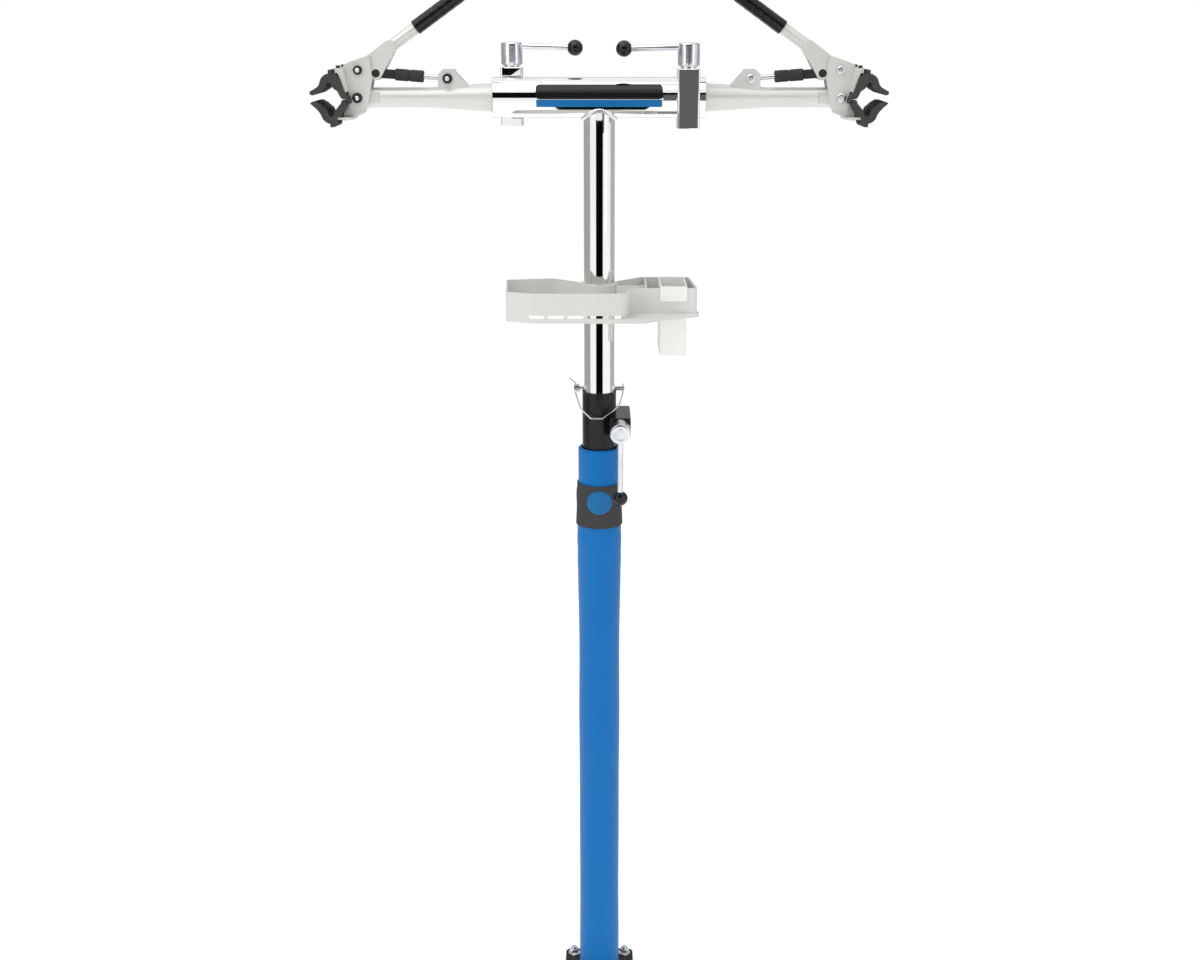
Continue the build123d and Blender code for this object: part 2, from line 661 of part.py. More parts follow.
with BuildPart() as adjuster:
    with BuildSketch(link_line.offset(link_fork_length + free_gap)):
        Circle(adjuster_diameter / 2)
        Circle(link_screw_diameter / 2 + running, mode=Mode.SUBTRACT)
    extrude(amount=adjuster_length)
    chamfer(adjuster.edges().filter_by(GeomType.CIRCLE).group_by(SortBy.RADIUS)[-1], adjuster_chamfer)
pieces["left_adjuster"] = adjuster.part

with BuildPart() as link_screw:
    with BuildSketch(link_line.offset(link_screw_inside)):
        Circle(link_screw_diameter / 2)
    extrude(amount=link_length - link_screw_inside)
    with BuildSketch(link_side):
        with Locations((link_length, 0)):
            Circle(link_eye_end)
    extrude(amount=ear_inner - free_gap, both=True)
    with BuildSketch(link_side):
        with Locations((link_length, 0)):
            Circle(small_bolt_diameter / 2 + running)
    extrude(amount=ear_inner, both=True, mode=Mode.SUBTRACT)
pieces["left_link_screw"] = link_screw.part

# ---------------------------------------------------------------- the right-hand set
for name in [name for name in pieces if name.startswith("left_")]:
    pieces[name.replace("left_", "right_")] = pieces[name].rotate(Axis.Z, 180)

# ---------------------------------------------------------------- tool tray
tray_top = bar_height - tray_rim_drop
tray_bottom = tray_top - tray_depth
tray_floor = tray_bottom + tray_floor_rise
bin_front = tray_front_right + tray_wall + free_gap
bin_middle = (bin_left + bin_width / 2, bin_front + bin_length / 2)


def tray_outline(inset):
    """Add the tray's plan to the sketch being built, moved in by the inset."""
    bend_start = (tray_bend_start, tray_front)
    bend_end = (tray_bend_end, tray_front_right)
    bend_middle = ((tray_bend_start + tray_bend_end) / 2, (tray_front + tray_front_right) / 2)
    with BuildSketch(mode=Mode.PRIVATE) as plan:
        with BuildLine():
            outer_bend = TangentArc(bend_start, bend_middle, tangent=(1, 0))
            TangentArc(bend_middle, bend_end, tangent=outer_bend % 1)
            Polyline(bend_end, (tray_right, tray_front_right), *tray_back_profile, bend_start)
        make_face()
        sharp = plan.vertices().filter_by(lambda v: v.X > tray_bend_end + 1 or v.X < 2 * tray_hub_diameter / -3)
        fillet(sharp, tray_corner)
        Circle(tray_hub_diameter / 2)
        if inset:
            offset(amount=-inset, kind=Kind.ARC, mode=Mode.REPLACE)
    return add(plan.sketch)


with BuildPart() as tray:
    with BuildSketch(Plane.XY.offset(tray_bottom)):
        tray_outline(0)
    extrude(amount=tray_depth)
    with BuildSketch(Plane.XY.offset(tray_bottom)):
        outline(tray_lip_profile, tray_lip_corner)
    extrude(amount=tray_lip_height)
    with BuildSketch(Plane.XY.offset(tray_floor + tray_wall)):
        tray_outline(tray_wall)
    extrude(amount=tray_depth, mode=Mode.SUBTRACT)
    with BuildSketch(Plane.XY.offset(tray_bottom)):
        tray_outline(tray_wall)
    extrude(amount=tray_floor_rise, mode=Mode.SUBTRACT)
    with BuildSketch(Plane.XY.offset(tray_bottom)):
        Circle(tray_hub_diameter / 2)
    extrude(amount=tray_depth)
    with BuildSketch(mode=Mode.PRIVATE) as dividers:
        with Locations((tray_divider, 0)):
            Rectangle(tray_wall, 2 * tray_right)
        with Locations(((tray_divider + tray_pocket_left) / 2, tray_pocket_front)):
            Rectangle(tray_divider - tray_pocket_left, tray_wall)
    with BuildSketch(Plane.XY.offset(tray_floor)):
        tray_outline(tray_wall / 2)
        add(dividers.sketch, mode=Mode.INTERSECT)
    extrude(amount=tray_top - tray_divider_drop - tray_floor)
    with BuildSketch(Plane.XY.offset(tray_floor)):
        with Locations(bin_middle):
            RectangleRounded(bin_width + 2 * free_gap, bin_length + 2 * free_gap, bin_corner + free_gap)
    extrude(amount=tray_wall, mode=Mode.SUBTRACT)
    with BuildSketch(Plane.XZ.offset(-tray_front - 2 * tray_wall)):
        with Locations((tray_slot_middle, tray_bottom + tray_slot_rise)):
            with GridLocations(tray_slot_pitch, 1, tray_slots, 1):
                SlotOverall(tray_slot_length, tray_slot_height)
    extrude(amount=4 * tray_wall, mode=Mode.SUBTRACT)
    with BuildSketch(Plane.XY.offset(tray_bottom)):
        Circle(mast_diameter / 2 + running)
    extrude(amount=tray_depth, mode=Mode.SUBTRACT)
    with BuildSketch(Plane.XZ):
        with Locations((0, tray_bottom + tray_screw_rise)):
            Circle(set_screw_diameter / 2 + running)
    extrude(amount=-tray_hub_diameter, mode=Mode.SUBTRACT)
pieces["tray"] = tray.part

screw_face = mast_diameter / 2 + free_gap
screw_end = screw_face + set_screw_length + set_screw_diameter
with BuildPart() as tray_set_screw:
    for radius, length in ((set_screw_diameter / 2, screw_end - screw_face),
                           (set_screw_head / 2, set_screw_diameter)):
        with BuildSketch(Plane.XZ.offset(-screw_end)):
            with Locations((0, tray_bottom + tray_screw_rise)):
                Circle(radius)
        extrude(amount=length)
    with BuildSketch(Plane.XZ.offset(-screw_end)):
        with Locations((0, tray_bottom + tray_screw_rise)):
            RegularPolygon(set_screw_socket, 6)
    extrude(amount=set_screw_diameter / 2, mode=Mode.SUBTRACT)
pieces["tray_set_screw"] = tray_set_screw.part

bin_bottom = tray_top - bin_depth
bin_top = tray_top + free_gap + bin_wall
tab_front = tray_front_right - free_gap - bin_wall
tab_profile = [(bin_front + bin_wall, bin_top), (tab_front, bin_top), (tab_front, bin_top - bin_tab_depth),
               (tab_front + bin_wall, bin_top - bin_tab_depth), (tab_front + bin_wall, bin_top - bin_wall),
               (bin_front + bin_wall, bin_top - bin_wall)]
with BuildPart() as tray_bin:
    with BuildSketch(Plane.XY.offset(bin_bottom)):
        with Locations(bin_middle):
            RectangleRounded(bin_width, bin_length, bin_corner)
    extrude(amount=bin_top - bin_bottom)
    with BuildSketch(Plane.YZ.offset(bin_left)):
        outline(tab_profile)
    extrude(amount=bin_width)
    with BuildSketch(Plane.XY.offset(bin_bottom + bin_wall)):
        with Locations(bin_middle):
            RectangleRounded(bin_width - 2 * bin_wall, bin_length - 2 * bin_wall, bin_corner - bin_wall)
    extrude(amount=bin_top - bin_bottom, mode=Mode.SUBTRACT)
pieces["tray_bin"] = tray_bin.part

os.makedirs("parts", exist_ok=True)
for name, piece in pieces.items():
    piece.label = name
    export_step(piece, f"parts/{name}.step")
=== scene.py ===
import json
import math

import bmesh
import bpy
import numpy as np
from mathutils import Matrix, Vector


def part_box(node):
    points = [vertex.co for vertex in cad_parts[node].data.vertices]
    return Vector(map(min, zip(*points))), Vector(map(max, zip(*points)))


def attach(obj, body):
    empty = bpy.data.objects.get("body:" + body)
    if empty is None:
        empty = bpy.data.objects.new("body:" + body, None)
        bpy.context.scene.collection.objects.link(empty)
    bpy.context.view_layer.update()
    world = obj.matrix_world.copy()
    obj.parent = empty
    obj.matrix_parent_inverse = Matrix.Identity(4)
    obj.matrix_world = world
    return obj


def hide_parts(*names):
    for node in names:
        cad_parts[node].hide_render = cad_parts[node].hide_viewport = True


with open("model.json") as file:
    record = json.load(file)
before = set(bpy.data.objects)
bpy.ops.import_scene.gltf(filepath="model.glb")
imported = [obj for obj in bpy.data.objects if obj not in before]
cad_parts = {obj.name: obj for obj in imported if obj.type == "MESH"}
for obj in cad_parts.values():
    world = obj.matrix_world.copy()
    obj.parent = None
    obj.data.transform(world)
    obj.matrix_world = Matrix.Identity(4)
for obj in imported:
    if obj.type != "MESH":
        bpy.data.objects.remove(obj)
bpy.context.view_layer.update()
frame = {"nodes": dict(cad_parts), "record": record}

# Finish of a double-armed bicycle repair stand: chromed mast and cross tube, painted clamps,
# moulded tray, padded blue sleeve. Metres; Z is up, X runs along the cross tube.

MM = 0.001
TURN = 2 * math.pi
PAD_RIB_PITCH = 0.0064
BODY_OF = {node: body for body, nodes in frame["record"]["behaviour"]["bodies"].items() for node in nodes}
SIDES = ("left", "right")


# ---------------------------------------------------------------- shader maths
class Value:
    """A socket in a finish's tree; arithmetic on it adds Math nodes."""

    def __init__(self, finish, socket):
        self.finish = finish
        self.socket = socket

    def maths(self, operation, first, second=0.0):
        return self.finish.node("ShaderNodeMath", {"operation": operation}, {0: first, 1: second})

    def __add__(self, other):
        return self.maths("ADD", self, other)

    def __sub__(self, other):
        return self.maths("SUBTRACT", self, other)

    def __mul__(self, other):
        return self.maths("MULTIPLY", self, other)

    def __rsub__(self, other):
        return self.maths("SUBTRACT", other, self)

    __radd__ = __add__
    __rmul__ = __mul__

    def sine(self):
        return self.maths("SINE", self)


class Finish:
    """A material. Constants are set on the shader's own sockets; feed() links what varies."""

    def __init__(self, name, color, **constants):
        self.material = bpy.data.materials.new(name)
        self.material.use_nodes = True
        self.tree = self.material.node_tree
        self.shader = self.tree.nodes["Principled BSDF"]
        self.shader.inputs["Base Color"].default_value = (*color, 1.0)
        for key, value in constants.items():
            self.shader.inputs[key.replace("_", " ").title().replace("Ior", "IOR")].default_value = value
        self.material.diffuse_color = (*color, 1.0)

    def node(self, kind, settings=None, inputs=None, output=0):
        """Add a node: its settings first (a ramp's stops among them), then its inputs."""
        made = self.tree.nodes.new(kind)
        for key, value in (settings or {}).items():
            if key == "stops":
                self.set_ramp(made.color_ramp, value)
            else:
                setattr(made, key, value)
        for key, value in (inputs or {}).items():
            if isinstance(value, Value):
                self.tree.links.new(value.socket, made.inputs[key])
            else:
                made.inputs[key].default_value = value
        return Value(self, made.outputs[output])

    @staticmethod
    def set_ramp(ramp, stops):
        while len(ramp.elements) < len(stops):
            ramp.elements.new(0.5)
        for element, (place, color) in zip(ramp.elements, stops):
            element.position = place
            element.color = (*color, 1.0)

    def place(self, name="Object"):
        return self.node("ShaderNodeTexCoord", output=name)

    def stretched(self, scale):
        return self.node("ShaderNodeMapping", None, {"Vector": self.place(), "Scale": scale})

    def parts_of(self, name):
        """The first two numbers of a coordinate, apart."""
        split = self.node("ShaderNodeSeparateXYZ", None, {0: self.place(name)})
        return split, Value(self, split.socket.node.outputs[1])

    def noise(self, scale, detail=3.0, roughness=0.55, vector=None):
        inputs = {"Vector": vector or self.place(), "Scale": scale, "Detail": detail, "Roughness": roughness}
        return self.node("ShaderNodeTexNoise", None, inputs)

    def mix(self, factor, first, second):
        wide = [(*c, 1.0) if isinstance(c, tuple) else c for c in (first, second)]
        return self.node("ShaderNodeMix", {"data_type": "RGBA"}, {0: factor, 6: wide[0], 7: wide[1]}, 2)

    def ramp(self, factor, stops):
        return self.node("ShaderNodeValToRGB", {"stops": stops}, {0: factor})

    def feed(self, name, value):
        self.tree.links.new(value.socket, self.shader.inputs[name])
        return self

    def bump(self, height, distance, strength=1.0):
        inputs = {"Height": height, "Distance": distance, "Strength": strength}
        return self.feed("Normal", self.node("ShaderNodeBump", None, inputs))


def grey(level):
    return (level, level, level)


def chrome():
    """Bright plating: near-mirror, with a faint haze of handling marks."""
    made = Finish("chrome_plate", grey(0.86), metallic=1.0, roughness=0.05)
    haze = made.noise(9.0, 4.0)
    wipe = made.noise(60.0, 3.0, 0.6, made.stretched((1.0, 1.0, 0.15)))
    made.feed("Roughness", 0.02 + haze * 0.03 + wipe * 0.02)
    made.feed("Base Color", made.mix(haze, (0.82, 0.825, 0.82), (0.92, 0.92, 0.91)))
    return made


def black_coat():
    """Gloss black powder coat with a light orange-peel surface."""
    made = Finish("black_powder_coat", grey(0.008), roughness=0.25, specular_ior_level=0.3)
    peel = made.noise(900.0, 2.0)
    tone = made.noise(30.0, 4.0)
    made.feed("Base Color", made.mix(tone, grey(0.006), grey(0.011)))
    made.feed("Roughness", 0.2 + tone * 0.12)
    made.bump(peel, 0.00006, 0.5)
    return made


def silver_paint():
    """Light silver-grey paint over a cast surface."""
    made = Finish("silver_paint", (0.60, 0.59, 0.56), metallic=0.25, roughness=0.32)
    cast = made.noise(420.0, 4.0, 0.6)
    patch = made.noise(24.0, 4.0)
    made.feed("Base Color", made.mix(patch, (0.66, 0.65, 0.615), (0.74, 0.73, 0.70)))
    made.feed("Roughness", 0.24 + patch * 0.16)
    made.bump(cast, 0.00012, 0.6)
    return made


def zinc():
    """Bright zinc plate: a bluish metal with a soft, patchy lustre."""
    made = Finish("zinc_plate", (0.70, 0.72, 0.76), metallic=1.0, roughness=0.26)
    patch = made.noise(35.0, 3.0, 0.5)
    fine = made.noise(500.0, 2.0)
    made.feed("Base Color", made.ramp(patch, [(0.25, (0.60, 0.63, 0.69)), (0.55, (0.76, 0.78, 0.81)),
                                              (0.85, (0.84, 0.82, 0.78))]))
    made.feed("Roughness", 0.16 + patch * 0.1)
    made.bump(fine, 0.000002, 0.2)
    return made


def black_oxide():
    """Satin black oxide on small steel parts."""
    made = Finish("black_oxide", grey(0.03), metallic=0.6, roughness=0.38)
    patch = made.noise(180.0, 4.0)
    made.feed("Base Color", made.mix(patch, grey(0.018), grey(0.05)))
    made.feed("Roughness", 0.3 + patch * 0.2)
    return made


def ball_plastic():
    """Polished black moulded plastic."""
    made = Finish("ball_plastic", grey(0.005), roughness=0.06, specular_ior_level=0.4)
    smear = made.noise(120.0, 4.0)
    made.feed("Roughness", 0.04 + smear * 0.05)
    made.feed("Base Color", made.mix(smear, grey(0.003), grey(0.006)))
    return made


def grip_vinyl():
    """Dipped vinyl: glossy, with slow ripples."""
    made = Finish("grip_vinyl", grey(0.006), roughness=0.16, specular_ior_level=0.35)
    ripple = made.noise(70.0, 2.0)
    made.feed("Roughness", 0.12 + made.noise(300.0) * 0.12)
    made.feed("Base Color", made.mix(ripple, grey(0.004), grey(0.009)))
    made.bump(ripple, 0.0006, 0.35)
    return made


def pad_rubber():
    """Matte charcoal jaw pad, a little scuffed."""
    made = Finish("pad_rubber", (0.046, 0.045, 0.043), roughness=0.72, specular_ior_level=0.35)
    grain = made.noise(1500.0, 2.0)
    scuff = made.noise(90.0, 5.0, 0.65)
    made.feed("Base Color", made.ramp(scuff, [(0.3, (0.036, 0.035, 0.034)), (0.6, (0.050, 0.049, 0.047)),
                                              (0.8, (0.085, 0.083, 0.08))]))
    made.feed("Roughness", 0.62 + scuff * 0.2)
    ribs = (made.parts_of("Object")[1] * (TURN / PAD_RIB_PITCH)).sine()
    made.bump(ribs * 0.8 + grain * 0.2, 0.0005, 0.6)
    return made


def moulded(name, dark, light, roughness):
    """Moulded plastic with a spark-eroded grain."""
    made = Finish(name, light, roughness=roughness, specular_ior_level=0.3)
    grain = made.noise(1300.0, 3.0, 0.6)
    tone = made.noise(14.0, 3.0)
    made.feed("Base Color", made.mix(tone, dark, light))
    made.feed("Roughness", roughness - 0.06 + tone * 0.12)
    made.bump(grain, 0.00008, 0.45)
    return made


def sleeve_cloth():
    """Blue coated cloth: a fine plain weave under a soft sheen."""
    made = Finish("sleeve_cloth", (0.0, 0.15, 0.47), roughness=0.42, specular_ior_level=0.2)
    across, along = made.parts_of("UV")
    threads = (across * 7850.0).sine() * (along * 7850.0).sine()
    tone = made.noise(18.0, 4.0)
    made.feed("Base Color", made.mix(tone, (0.0, 0.155, 0.47), (0.0, 0.175, 0.54)))
    made.feed("Roughness", 0.34 + tone * 0.12 + threads * 0.03)
    made.bump(threads, 0.0001, 0.5)
    return made


def elastic_web():
    """Charcoal elastic webbing with ribs that run round the post."""
    made = Finish("elastic_web", grey(0.055), roughness=0.8, specular_ior_level=0.2)
    across, along = made.parts_of("UV")
    ribs = (along * 2800.0).sine()
    threads = (across * 5200.0).sine()
    made.feed("Base Color", made.mix(ribs * 0.5 + 0.5, grey(0.040), grey(0.070)))
    made.bump(ribs * 0.7 + threads * 0.3, 0.00022, 0.7)
    return made


def printed(name, color, roughness):
    """A glossy printed film, slightly uneven."""
    made = Finish(name, color, roughness=roughness, specular_ior_level=0.3)
    tone = made.noise(40.0, 3.0)
    made.feed("Base Color", made.mix(tone, tuple(0.85 * c for c in color), tuple(1.1 * c for c in color)))
    return made


FINISH = {
    "chrome_tube": chrome(),
    "black_paint": black_coat(),
    "silver_paint": silver_paint(),
    "zinc": zinc(),
    "black_oxide": black_oxide(),
    "ball_plastic": ball_plastic(),
    "grip_vinyl": grip_vinyl(),
    "pad_rubber": pad_rubber(),
    "tray_plastic": moulded("tray_plastic", (0.70, 0.69, 0.66), (0.75, 0.74, 0.71), 0.42),
    "bin_plastic": moulded("bin_plastic", (0.88, 0.87, 0.84), (0.93, 0.92, 0.89), 0.36),
    "sleeve_fabric": sleeve_cloth(),
}
WEB = elastic_web()
PANEL_BLACK = printed("panel_black", grey(0.012), 0.12)
PANEL_BLUE = printed("panel_blue", (0.0, 0.145, 0.38), 0.3)
SLOT_OF = {row["node"]: row["material_slot"] for row in frame["record"]["subparts"]}


# ---------------------------------------------------------------- surfaces
def finished(obj, finish, body, slot, replaced=()):
    """Give a new piece its finish and its body, and hide the CAD nodes that it stands for."""
    obj.data.materials.clear()
    obj.data.materials.append(finish.material)
    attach(obj, body)
    if replaced:
        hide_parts(*replaced)
    return obj


def shade(mesh, sharp=35.0):
    mesh.shade_smooth()
    mesh.set_sharp_from_angle(angle=math.radians(sharp))


def surface(name, points, wrap=(False, True), capped=True, uv=None, sharp=35.0):
    """A mesh on a grid of points, shape (rows, columns, 3). wrap joins the last row or column to the
    first; capped closes the end rows with a face each; uv gives the map's size along both ways."""
    rows, columns = points.shape[:2]
    across, down = np.meshgrid(np.arange(rows if wrap[0] else rows - 1),
                               np.arange(columns if wrap[1] else columns - 1), indexing="ij")
    corners = [(across, down), (across, down + 1), (across + 1, down + 1), (across + 1, down)]
    faces = np.stack([(i % rows) * columns + j % columns for i, j in corners], -1).reshape(-1, 4)
    ends = []
    if capped and not wrap[0]:
        first = np.arange(columns)
        ends = [first[::-1].tolist(), ((rows - 1) * columns + first).tolist()]
    mesh = bpy.data.meshes.new(name)
    mesh.from_pydata(points.reshape(-1, 3).tolist(), [], faces.tolist() + ends)
    if uv:
        layer = mesh.uv_layers.new(name="UVMap")
        places = np.stack([np.stack([i / rows * uv[0], j / columns * uv[1]], -1) for i, j in corners], 2)
        flat = np.concatenate([places.reshape(-1), np.zeros(2 * sum(len(e) for e in ends))])
        layer.uv.foreach_set("vector", flat)
    outward(mesh)
    shade(mesh, sharp)
    obj = bpy.data.objects.new(name, mesh)
    bpy.context.scene.collection.objects.link(obj)
    return obj


def outward(mesh):
    """Turn every face of a closed mesh outwards."""
    work = bmesh.new()
    work.from_mesh(mesh)
    bmesh.ops.recalc_face_normals(work, faces=work.faces)
    work.to_mesh(mesh)
    work.free()


def axes_for(direction):
    """Two unit vectors square to a direction and to each other."""
    direction = np.asarray(direction, float) / np.linalg.norm(direction)
    helper = np.array([0.0, 1.0, 0.0]) if abs(direction[1]) < 0.9 else np.array([1.0, 0.0, 0.0])
    first = np.cross(helper, direction)
    first /= np.linalg.norm(first)
    return direction, first, np.cross(direction, first)


def turned(name, profile, origin, direction, segments=64, ripple=None, closed=False, uv=None, sharp=35.0):
    """A turned piece: point = origin + s*axis + r*(cos t*e1 + sin t*e2) for each (s, r) of the profile
    and each angle t. ripple(s, t) is added to r; closed joins the profile's end to its start."""
    axis, first, second = axes_for(direction)
    profile = np.asarray(profile, float)
    along, angle = np.meshgrid(profile[:, 0], np.linspace(0, TURN, segments, endpoint=False), indexing="ij")
    radius = np.repeat(profile[:, 1:2], segments, 1)
    if ripple:
        radius = radius + ripple(along, angle)
    points = (np.asarray(origin, float) + along[..., None] * axis
              + (radius * np.cos(angle))[..., None] * first + (radius * np.sin(angle))[..., None] * second)
    return surface(name, points, (closed, True), not closed, uv, sharp)


def swept(name, path, section, closed=False, sharp=35.0):
    """A bead or wire: the section's (x, y) carried along the path on its side and up vectors.
    section is an array (columns, 2), or a function of the row number that returns one."""
    path = np.asarray(path, float)
    ahead = np.roll(path, -1, 0) - np.roll(path, 1, 0)
    if not closed:
        ahead[0], ahead[-1] = path[1] - path[0], path[-1] - path[-2]
    ahead /= np.linalg.norm(ahead, axis=1)[:, None]
    up = np.empty_like(ahead)
    up[0] = axes_for(ahead[0])[1]
    for row in range(1, len(path)):
        up[row] = up[row - 1] - ahead[row] * (up[row - 1] @ ahead[row])
        up[row] /= np.linalg.norm(up[row])
    side = np.cross(ahead, up)
    sections = np.array([section(row) if callable(section) else section for row in range(len(path))])
    points = path[:, None] + sections[..., :1] * side[:, None] + sections[..., 1:] * up[:, None]
    return surface(name, points, (closed, True), not closed, None, sharp)


def arc(centre, radius, start, end, count=6):
    """Points of an arc in the (s, r) plane, angles in degrees."""
    angle = np.radians(np.linspace(start, end, count))
    return [(centre[0] + radius * math.cos(a), centre[1] + radius * math.sin(a)) for a in angle]


def softened(node, width, segments=3, finish=None):
    """A CAD node's shape with its edges rounded: its triangles are merged into clean faces, then the
    edges sharper than 30 degrees get a round of the given width."""
    mesh = frame["nodes"][node].data.copy()
    work = bmesh.new()
    work.from_mesh(mesh)
    bmesh.ops.remove_doubles(work, verts=work.verts, dist=2e-6)
    bmesh.ops.dissolve_limit(work, angle_limit=math.radians(1.0), verts=work.verts, edges=work.edges)
    work.to_mesh(mesh)
    work.free()
    mesh.name = node + "_finished"
    shade(mesh, 30.0)
    obj = bpy.data.objects.new(node + "_finished", mesh)
    bpy.context.scene.collection.objects.link(obj)
    bevel = obj.modifiers.new("rounded_edges", "BEVEL")
    bevel.width = width
    bevel.segments = segments
    bevel.limit_method = "ANGLE"
    bevel.angle_limit = math.radians(30.0)
    bevel.harden_normals = False
    bevel.use_clamp_overlap = True
    slot = SLOT_OF[node]
    return finished(obj, finish or FINISH[slot], BODY_OF[node], slot, (node,))


def middle(node):
    low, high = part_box(node)
    return (np.array(low) + np.array(high)) / 2


# ---------------------------------------------------------------- every CAD node gets its finish
for node, obj in frame["nodes"].items():
    obj.data.materials.clear()
    obj.data.materials.append(FINISH[SLOT_OF[node]].material)

EDGE_ROUND = {"base_flange": 1.2, "flange_bolts": 0.5, "post_lock_housing": 0.8, "tray": 0.9, "tray_bin": 0.8,
              "safety_pin": 0.5, "lower_post": 0.5, "cross_tube": 0.5}
for side in SIDES:
    EDGE_ROUND.update({side + "_lock_housing": 0.8, side + "_clamp_arm": 1.0, side + "_upper_jaw": 1.0,
                       side + "_lever": 0.8, side + "_link_fork": 0.8, side + "_upper_pad": 1.2,
                       side + "_lower_pad": 1.2, side + "_jaw_pivot": 0.3, side + "_lever_pivot": 0.3,
                       side + "_anchor_bolt": 0.3})
# The left clamp's nuts take black oxide as painted shade: their dark faces stand in for the shadow gap round
# each domed bolt end.
SHADOW_GAP_NUTS = ("left_jaw_pivot", "left_lever_pivot", "left_anchor_bolt")
for node, width in EDGE_ROUND.items():
    softened(node, width * MM, finish=FINISH["black_oxide"] if node in SHADOW_GAP_NUTS else None)

# ---------------------------------------------------------------- sizes read from the frame
tube_low, tube_high = (np.array(v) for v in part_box("cross_tube"))
BAR_HEIGHT = (tube_low[2] + tube_high[2]) / 2
BAR_RADIUS = (tube_high[2] - tube_low[2]) / 2
MAST_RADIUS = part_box("mast_tube")[1][0]
sleeve_low, sleeve_high = (np.array(v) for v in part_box("post_sleeve"))


# ---------------------------------------------------------------- padded sleeve with its band
BAND_LOW = sleeve_high[2] - 0.136
BAND_HIGH = sleeve_high[2] - 0.062
BADGE_HEIGHT = sleeve_high[2] - 0.090
SLEEVE_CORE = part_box("lower_post")[1][0] + 0.0004


def sleeve_radius(height, angle):
    """Outer radius of the sleeve: base + swell * e^(-(depth below the band / reach)^1.6), less a dip at
    the band, with slow lumps and fine creases as products of sines; the back seam is a shallow valley."""
    base = sleeve_high[0]
    below = BAND_LOW - height
    full = 0.0024 * np.exp(-(np.maximum(below, 0) / 0.13) ** 1.6)
    full = full * np.exp(-(np.maximum(height - BAND_HIGH + 0.02, 0) / 0.014) ** 2)
    drawn = -0.0006 * np.exp(-((height - (BAND_LOW + BAND_HIGH) / 2) / 0.03) ** 2)
    lumps = 0.0005 * np.sin(height * 21 + 1.3 * np.sin(angle)) * np.cos(angle * 2 + height * 5)
    crease = 0.0003 * np.sin(height * 160 + 2.2 * np.sin(angle * 2 + 1)) * np.exp(-(below / 0.07) ** 2)
    seam = -0.0022 * np.exp(-((np.abs(angle - TURN / 4) * base) / 0.0022) ** 2)
    return base - 0.0004 + full + drawn + lumps + crease + seam


def around_post(radius, height, angles):
    """Point = (r cos t, r sin t, z) for each angle t down the rows and each height z across."""
    levels = np.broadcast_to(height, radius.shape)
    return np.stack([radius * np.cos(angles), radius * np.sin(angles), levels], -1)


def build_sleeve():
    """A closed shell: outside up, hem over, inside down. Point = (r cos t, r sin t, z)."""
    low, high = sleeve_low[2] + 0.0003, sleeve_high[2]
    hem = 0.0032
    outside = np.linspace(low + hem, high - hem, 420)
    turn_top = np.radians(np.linspace(0, 180, 9))[1:-1]
    angles = np.linspace(0, TURN, 144, endpoint=False)[:, None]
    outer = sleeve_radius(outside[None, :], angles)
    core = np.full((len(angles), 2), SLEEVE_CORE)
    top_mid, top_half = (outer[:, -1:] + SLEEVE_CORE) / 2, (outer[:, -1:] - SLEEVE_CORE) / 2
    foot_mid, foot_half = (outer[:, :1] + SLEEVE_CORE) / 2, (outer[:, :1] - SLEEVE_CORE) / 2
    radius = np.concatenate([outer, top_mid + top_half * np.cos(turn_top), core,
                             foot_mid - foot_half * np.cos(turn_top)], 1)
    height = np.concatenate([outside, high - hem + hem * np.sin(turn_top), [high - hem, low + hem],
                             low + hem - hem * np.sin(turn_top)])
    columns = around_post(radius, height, angles)
    around = TURN * sleeve_high[0]
    piece = surface("sleeve_padding", columns, (True, True), False, (around, 2 * (high - low)), 60.0)
    finished(piece, FINISH["sleeve_fabric"], "base", "sleeve_fabric", ("post_sleeve",))


def build_band():
    """The elastic band: a flat ring round the sleeve, its edges a little raised."""
    place = np.linspace(0, 1, 40)
    angles = np.linspace(0, TURN, 160, endpoint=False)[:, None]
    height = BAND_LOW + (BAND_HIGH - BAND_LOW) * place
    body = sleeve_radius(height[None, :], angles) + 0.0004
    thick = 0.0013 + 0.0005 * np.exp(-(np.minimum(place, 1 - place) / 0.05) ** 2)
    radius = np.concatenate([body + thick, body[:, ::-1]], 1)
    columns = around_post(radius, np.concatenate([height, height[::-1]]), angles)
    around = TURN * sleeve_high[0]
    piece = surface("sleeve_band", columns, (True, True), False, (around, 2 * (BAND_HIGH - BAND_LOW)))
    finished(piece, WEB, "base", "sleeve_fabric")


def build_badge():
    """A plain round badge bent to the band: rings from its middle out, raised 0.8 mm with a soft rim."""
    size, rise = 0.0205, 0.0009
    rings = np.array([0.02, 0.25, 0.5, 0.75, 0.93, 0.98, 1.0, 1.0])
    lift = np.array([1, 1, 1, 1, 1, 0.8, 0.45, -0.6]) * rise
    angle = np.linspace(0, TURN, 72, endpoint=False)
    across = np.outer(rings, np.cos(angle)) * size
    up = np.outer(rings, np.sin(angle)) * size + BADGE_HEIGHT
    around = -TURN / 4 + across / sleeve_high[0]
    radius = sleeve_radius(up, around % TURN) + 0.0018 + lift[:, None]
    points = np.stack([radius * np.cos(around), radius * np.sin(around), up], -1)
    finished(surface("band_badge", points), PANEL_BLUE, "base", "sleeve_fabric")


build_sleeve()
build_band()
build_badge()


